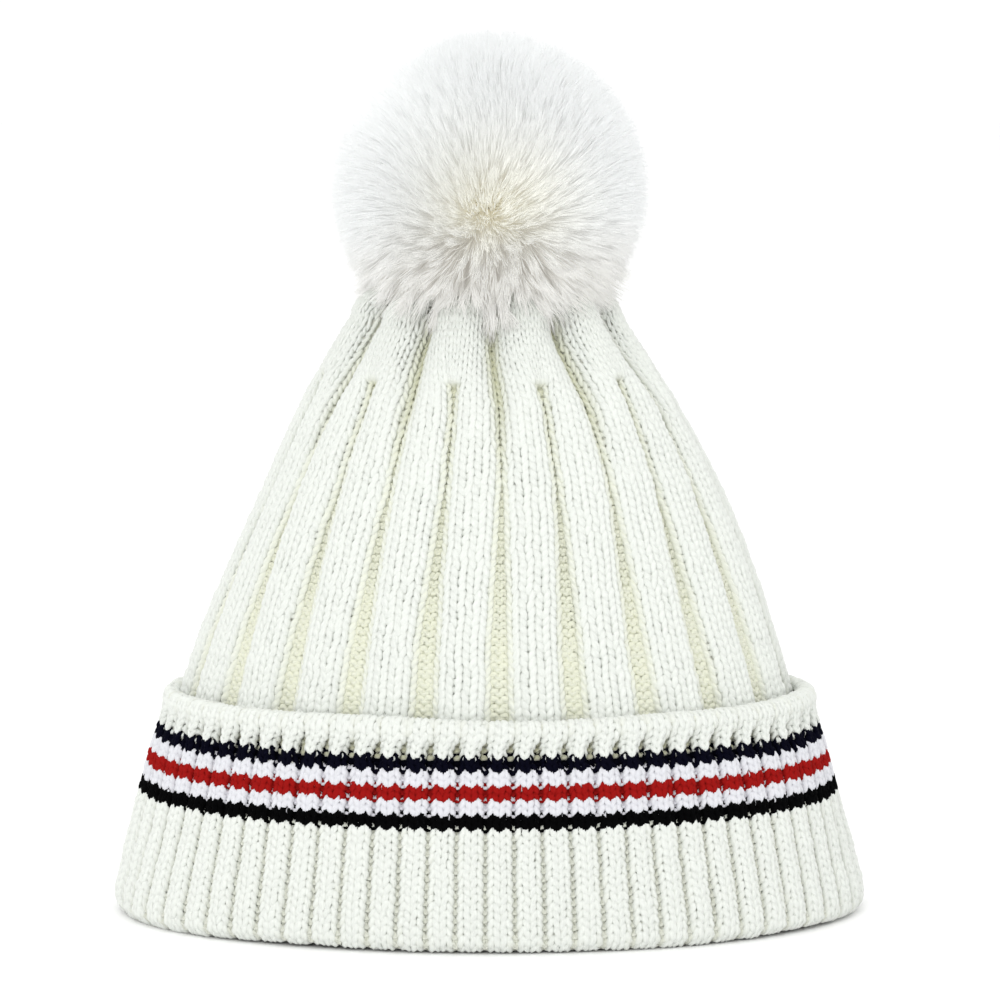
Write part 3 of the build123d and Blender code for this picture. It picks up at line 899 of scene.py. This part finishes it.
def felt_profile():
    """A domed disc with soft edges and a hole, read from the washer's box."""
    outer, top = tip_radius - 3.3, washer_high[2]
    ball_centre = top - math.sqrt(outer ** 2 - 1.5 ** 2)
    ways = np.linspace(1.6, washer_radius - 0.3, 12)
    over = [(r, ball_centre + math.sqrt((outer - 0.1) ** 2 - r ** 2)) for r in ways]
    under = [(r, ball_centre + math.sqrt((outer - 1.4) ** 2 - r ** 2)) for r in ways[::-1]]
    edge = [(washer_radius - 0.05, over[-1][1] - 0.5), (washer_radius - 0.1, under[0][1] + 0.4)]
    return over + edge + under + [over[0]]


def felt_wobble(radius, height, angle):
    rough = 0.05 * np.sin(17 * angle + 3 * height) + 0.04 * np.sin(29 * angle - 5 * height)
    return radius + rough, height + 0.05 * np.sin(23 * angle + 2 * radius)


washer = turned("felt_backing_washer", felt_profile(), 120, felt_wobble)
dress(washer, felt_cloth, "snap_base", "felt", "felt_washer")

# ---- Pom pom ----
fur_high = node_box("fur_pile")[1]
fur_radius = fur_high[0]
pom_centre = np.array([0.0, 0.0, fur_high[2] - fur_radius])
shell_low, shell_high = node_box("pom_shell")
shell_radius = shell_high[0]
pom_flat = shell_low[2]


def backing_profile():
    """The backing ball with its flat, gathered underside and the mouth that the thread draws shut."""
    start = math.degrees(math.asin((pom_centre[2] - pom_flat) / shell_radius))
    polar_angles = np.radians(np.linspace(90, -start + 4, 60))
    ball = [(shell_radius * math.cos(p), pom_centre[2] + shell_radius * math.sin(p)) for p in polar_angles]
    rim = [(12.6, pom_flat + 0.9), (11.0, pom_flat + 0.35), (9.0, pom_flat + 0.3), (7.4, pom_flat + 0.7)]
    outer = ball + rim
    inner = [(max(r - r / shell_radius, 0.0), z - (z - pom_centre[2]) / shell_radius) for r, z in ball[:-1]]
    floor_rows = [(r, pom_flat + 1.3) for r in (8.8, 10.5, 12.2)]
    return outer + [(6.9, pom_flat + 1.0)] + floor_rows + inner[::-1]


def backing_wobble(radius, height, angle):
    low = np.clip((pom_centre[2] - 6 - height) / 12, 0, 1)
    folds = np.sin(14 * angle) + 0.4 * np.sin(23 * angle + 1)
    folded_in = radius - 0.5 * low * np.abs(folds) * np.minimum(radius / 10, 1)
    return folded_in, height + 0.3 * low * folds * (radius < 13)


backing = turned("fur_backing_ball", backing_profile(), 240, backing_wobble)
dress(backing, backing_cloth, "pom_pom", "fur_backing", "pom_shell")

thread_low, thread_high = node_box("pom_gather_thread")
thread_radius = (thread_high[2] - thread_low[2]) / 2
stitch = np.linspace(0, TAU, 168, endpoint=False)
thread_ring = thread_high[0] - thread_radius + 0.25 * np.sin(14 * stitch)
thread_height = (thread_low[2] + thread_high[2]) / 2 + 0.2 * np.cos(14 * stitch)
thread_path = about_z(thread_ring, stitch, thread_height)
thread = tube("gathering_thread", thread_path, thread_radius * 0.7, 7, True, 2, 2.2)
dress(thread, string_cord, "pom_pom", "sewing_thread", "pom_gather_thread")

fill_low, fill_high = node_box("pom_filling")


def fill_wobble(radius, height, angle):
    lump = 0.35 * np.sin(5 * angle + height / 3) + 0.3 * np.sin(9 * angle - height / 2.2)
    lump = lump + 0.3 * np.sin(height * 0.9)
    return np.maximum(radius - 0.9 + lump * np.minimum(radius / 8, 1), 0.02), height


fill_middle, fill_half = (fill_low[2] + fill_high[2]) / 2, (fill_high[2] - fill_low[2]) / 2
fill_rows = [((fill_high[0] - 0.3) * math.cos(p) ** 0.9 + 0.02, fill_middle + (fill_half - 0.5) * math.sin(p))
             for p in np.radians(np.linspace(89, -89, 60))]
filling = turned("filling_ball", fill_rows, 120, fill_wobble)
dress(filling, fill_fibre, "pom_pom", "filling", "pom_filling")

FUR_STRANDS = 56000
FUR_SEGMENTS = 5
FUR_WIDTH = 0.124  # half a strand's width half way up, in millimetres
FUR_SIDES = 3
FLAT_REACH = 11.5  # fur nearer the middle than this stays above the pom pom's flat underside
FUR_REST = 195.5  # greatest height at which fur is lifted off the crown
FUR_TUFTS = (  # how many tufts, their pull, its gain low on the ball, their stray, a seed
    (260, 0.045, 1.3, 0.05, 31),
    (1500, 0.035, 1.5, 0.09, 32),
    (6000, 0.03, 0.35, 0.05, 33),
)
WHORL = unit(np.array([0.04, -1.0, -0.25]))  # where the fur parts, toward the front and a little down
UNDER_THE_FUR = 175.0  # height on the crown at which its flatness is read


def spread_directions(count, seed, jitter):
    """Even directions over a ball, a little shaken."""
    rng_here = np.random.default_rng(seed)
    k = np.arange(count) + 0.5
    up = 1 - 2 * k / count
    turn = k * math.pi * (3 - math.sqrt(5))
    ways = about_z(np.sqrt(1 - up ** 2), turn, up)
    return unit(ways + rng_here.normal(0, jitter, ways.shape))


def crown_surface(x, y):
    """Height of the crown's outside above each place; the fur lies on it."""
    width, depth, height = [
        row[rising] for row in (body_fabric.half_width, body_fabric.half_depth, body_fabric.height)
    ]
    flatness = np.interp(UNDER_THE_FUR, height, depth / width)
    reach = np.hypot(x, y / flatness)
    return np.interp(reach, width[::-1], height[::-1], left=crown_top, right=height[0])


def fur_strands():
    """Centre lines of all the strands, an array of strands by points by xyz in millimetres, how near each
    is to the whorl and to the ball's underside, and the generator of random numbers, for further draws."""
    rng = np.random.default_rng(20)
    ways = spread_directions(FUR_STRANDS, 21, 0.012)
    keep = pom_centre[2] + ways[:, 2] * shell_radius > pom_flat - 0.8
    ways = ways[keep]
    count = len(ways)
    x, y, z = ways.T
    t = np.linspace(0, 1, FUR_SEGMENTS + 1)[None, :, None]
    root = shell_radius - 1.5
    dent = np.exp(-((1 - ways @ unit(np.array([-0.62, -0.2, 0.72]))) / 0.05))
    under_long = smooth((-z - 0.45) / 0.3)
    length = (fur_radius - root) * (1.02 + rng.normal(0, 0.03, count) - 0.15 * dent + 0.24 * under_long)
    front = np.clip(-y, 0, 1) ** 1.5
    under = np.clip(-z - 0.25, 0, 1)
    bend = front[:, None] * np.array([-0.06, 0.0, 0.52])
    bend[:, 2] -= 0.06 + 0.3 * under
    swirl = [np.sin(5.1 * y + 3.3 * z), np.sin(4.7 * z + 2.9 * x + 1), np.sin(5.3 * x - 3.1 * y + 2)]
    bend += 0.12 * np.stack(swirl, -1)
    # How far down the ball a strand grows: it strengthens the tufts there and sets the painted shade under
    # the ball.
    low = smooth((-z - 0.15) / 0.55)
    for tufts, pull, gain, stray, seed in FUR_TUFTS:
        tufted = (0.35 + gain * low)[:, None]
        centres = spread_directions(tufts, seed, 0.03)
        lots = nearest(ways, centres)
        bend += (centres[lots] - ways) * pull * math.sqrt(tufts) * tufted
        bend += np.random.default_rng(seed + 9).normal(0, stray, (tufts, 3))[lots] * tufted
    bend += rng.normal(0, 0.035, (count, 3))
    bend -= ways * np.sum(bend * ways, -1, keepdims=True)
    length = length[:, None, None]
    line = ways[:, None] * (root + length * t) + bend[:, None] * (length * t ** 1.8) * 0.75
    reach = np.linalg.norm(line, axis=-1, keepdims=True)
    limit = root + length * t
    line *= np.where(reach > limit, limit / reach, 1.0)
    # Nearness to the whorl, which only sets the painted light there.
    whorl = np.exp(-(np.arccos(np.clip(ways @ WHORL, -1, 1)) / 0.5) ** 2)
    line += pom_centre
    inside = np.hypot(line[..., 0], line[..., 1]) < FLAT_REACH
    line[..., 2] = np.where(inside, np.maximum(line[..., 2], pom_flat + 0.4), line[..., 2])
    lie = rng.uniform(1.2, 4.5, (count, 1)) * np.ones_like(line[..., 0])
    ground = crown_surface(line[..., 0], line[..., 1]) + lie
    line[..., 2] = np.maximum(line[..., 2], np.minimum(ground, FUR_REST + lie))
    return line, whorl, low, rng


def nearest(points, centres):
    """Index of the nearest centre to each point."""
    found = np.empty(len(points), int)
    for first in range(0, len(points), 4000):
        found[first:first + 4000] = np.argmax(points[first:first + 4000] @ centres.T, axis=1)
    return found


def fur_pieces():
    """The strands as thin three-sided tubes, dealt out at random to a few pieces."""
    line, whorl, low, rng = fur_strands()
    count, rows = line.shape[:2]
    along = unit(np.gradient(line, axis=1))
    any_way = unit(rng.normal(0, 1, (count, 1, 3)))
    side = unit(np.cross(along, any_way))
    other = np.cross(along, side)
    t = np.linspace(0, 1, rows)
    width = FUR_WIDTH * (1.15 - 0.25 * t) * np.where(t > 0.99, 0.12, 1.0) * np.where(t > 0.8, 0.75, 1.0)
    ring = tube_points(line, side, other, width[None], FUR_SIDES)
    lot = rng.uniform(0, 1, count)
    order = rng.permutation(count)
    per_piece = MAX_PIECE_FACES // ((rows - 1) * FUR_SIDES)
    per_strand = rows * FUR_SIDES
    template = grid_faces(rows, FUR_SIDES)
    for k, first in enumerate(range(0, count, per_piece)):
        chosen = order[first:first + per_piece]
        points = ring[chosen].reshape(-1, 3)
        faces = (template[None] + (np.arange(len(chosen)) * per_strand)[:, None, None]).reshape(-1, 4)
        corner = faces.ravel()
        step = (corner // FUR_SIDES) % rows
        bake = np.stack([lot[chosen][corner // per_strand], step / (rows - 1)], -1)
        attributes = {"along": np.tile(np.repeat(t, FUR_SIDES), len(chosen))}
        # whorl and low carry the fur's painted light and shade.
        for key, values in (("lot", lot), ("whorl", whorl), ("low", low)):
            attributes[key] = np.repeat(values[chosen], per_strand)
        piece = make_mesh(f"fur_strands_{k + 1}", points, faces, attributes, {"OFBake": bake})
        dress(piece, fur_fibre, "pom_pom", "fur", "fur_pile")


fur_pieces()

# ---- Floor, light and camera ----
FLOOR_REACH = 6000.0
floor_paint = Paint("pale_floor", (0.97, 0.97, 0.97), 0.6)
grain = floor_paint.maths("MULTIPLY", floor_paint.noise(8.0), 0.1)
floor_paint.colour(floor_paint.mix(grain, (0.97, 0.97, 0.97), (0.95, 0.95, 0.95)))
floor_corners = np.array([[-1, -1, 0], [1, -1, 0], [1, 1, 0], [-1, 1, 0]]) * FLOOR_REACH
floor = make_mesh("floor", floor_corners, [[0, 1, 2, 3]])
floor.data.materials.append(floor_paint.material)

world = bpy.data.worlds.new("studio")
world.use_nodes = True
world.node_tree.nodes["Background"].inputs[0].default_value = (1.0, 1.0, 1.0, 1)
world.node_tree.nodes["Background"].inputs[1].default_value = 1.05
bpy.context.scene.world = world


def aimed(name, data, place, aim):
    """An object at a place in metres, looking at aim."""
    obj = bpy.data.objects.new(name, data)
    obj.location = place
    obj.rotation_euler = (Vector(place) - Vector(aim)).to_track_quat("Z", "Y").to_euler()
    bpy.context.scene.collection.objects.link(obj)
    return obj


def softbox(name, place, size, power):
    light = bpy.data.lights.new(name, "AREA")
    light.shape, light.size, light.energy = "DISK", size, power
    aimed(name, light, place, (0, 0, 0.12))


softbox("overhead", (0.1, 0.2, 2.2), 3.0, 9)
softbox("front_left", (-0.45, -1.7, 0.85), 0.7, 8.5)
softbox("front_right", (1.2, -1.1, 0.6), 0.9, 0.8)

camera = bpy.data.cameras.new("camera")
camera.sensor_width = 36
camera.lens = 182
CAMERA_TILT = math.radians(6.5)
CAMERA_DISTANCE = 1.5
camera_aim = Vector((0.0033, 0.0, 0.1223))
camera_way = Vector((0, -math.cos(CAMERA_TILT), math.sin(CAMERA_TILT)))
camera_place = camera_aim + camera_way * CAMERA_DISTANCE
bpy.context.scene.camera = aimed("camera", camera, camera_place, camera_aim)
bpy.context.scene.view_settings.view_transform = "Standard"
